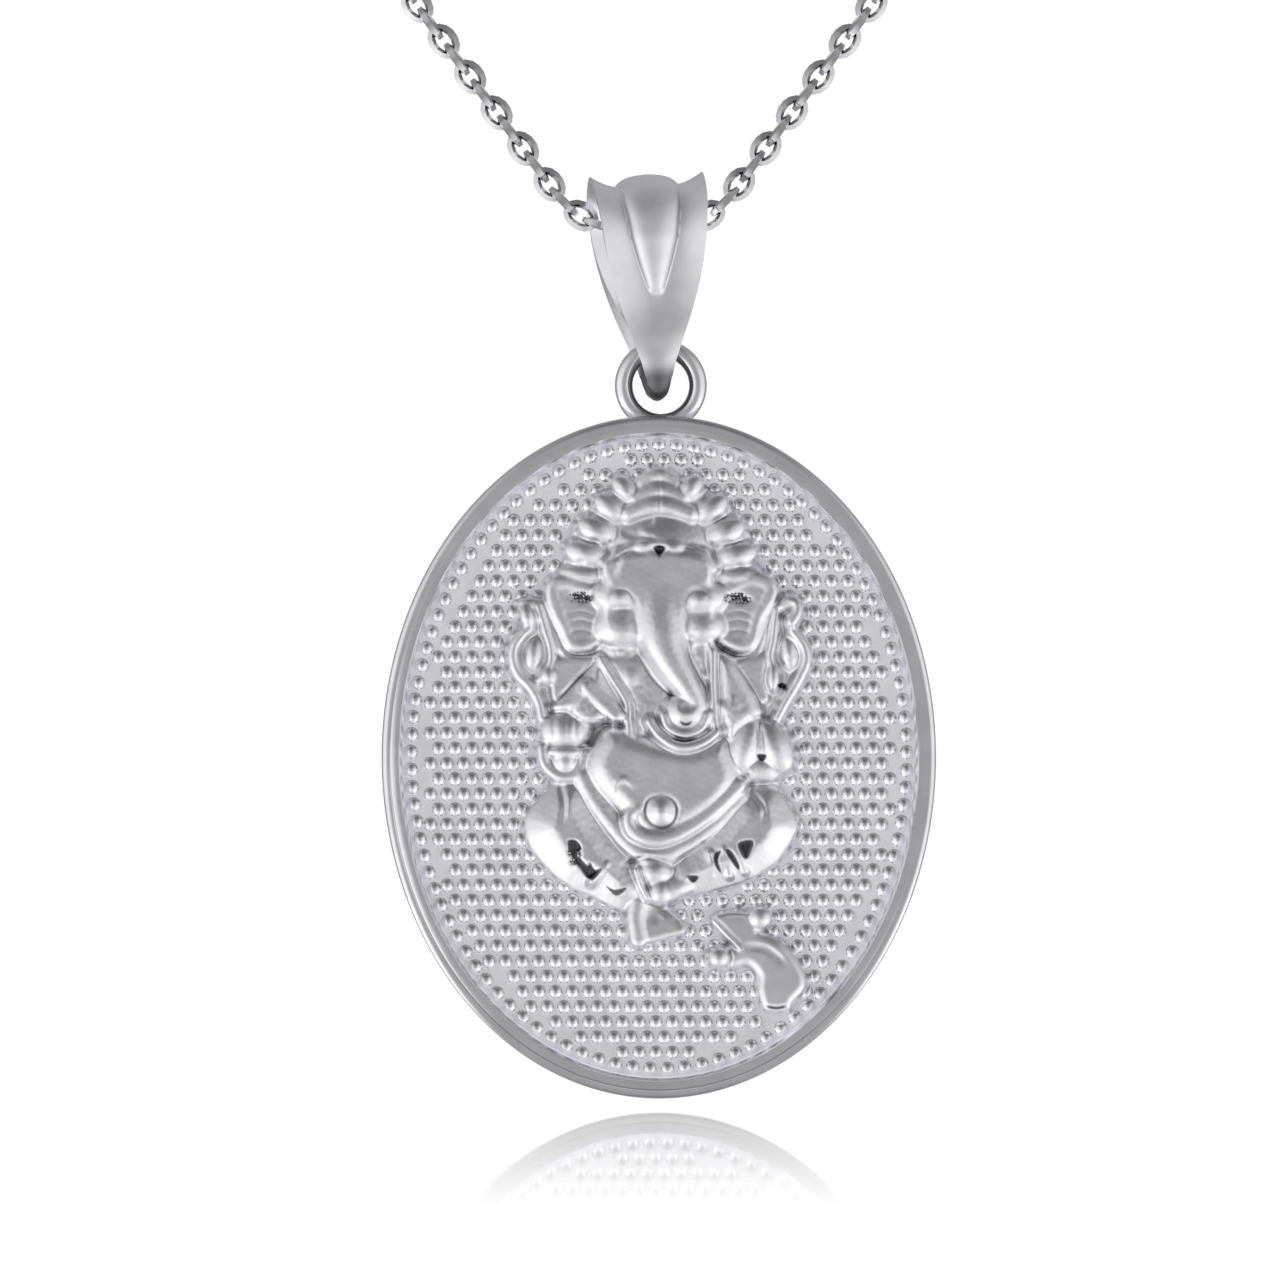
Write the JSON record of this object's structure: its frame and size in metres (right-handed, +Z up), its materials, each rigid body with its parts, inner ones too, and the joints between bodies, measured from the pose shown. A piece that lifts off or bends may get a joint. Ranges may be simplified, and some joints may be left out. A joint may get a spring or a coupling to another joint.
{
  "type": "ganesha pendant necklace",
  "caption": "Oval medallion with a raised seated elephant-headed figure and a mouse, hung by a fluted bail on a whole loop of fine cable chain.",
  "frame": {"origin": "where the chain lies on the nape of the neck, at the middle of the clasp", "axes": "+Z up, the medallion hangs in front of the neck and faces -Y, X across the neck"},
  "size_m": [0.121, 0.1084, 0.1544],
  "materials": {
    "cast_silver": "polished cast white metal",
    "bail_silver": "polished, brushed near the solder",
    "chain_silver": "polished with small flats"
  },
  "bodies": {
    "necklace": {"chain": "chain_silver", "clasp": "chain_silver"},
    "bail": {"bail": "bail_silver"},
    "medallion": {"medallion": "cast_silver"}
  },
  "joints": [
    {"name": "bail_swing", "type": "hinge", "parent": "necklace", "child": "bail", "pos_m": [0, -0.105, -0.1228], "axis": [1, 0, 0], "range_deg": [-90, 90]},
    {"name": "medallion_swing", "type": "hinge", "parent": "bail", "child": "medallion", "pos_m": [0.00058, -0.105, -0.12685], "axis": [1, 0, 0], "range_deg": [-45, 45]}
  ]
}
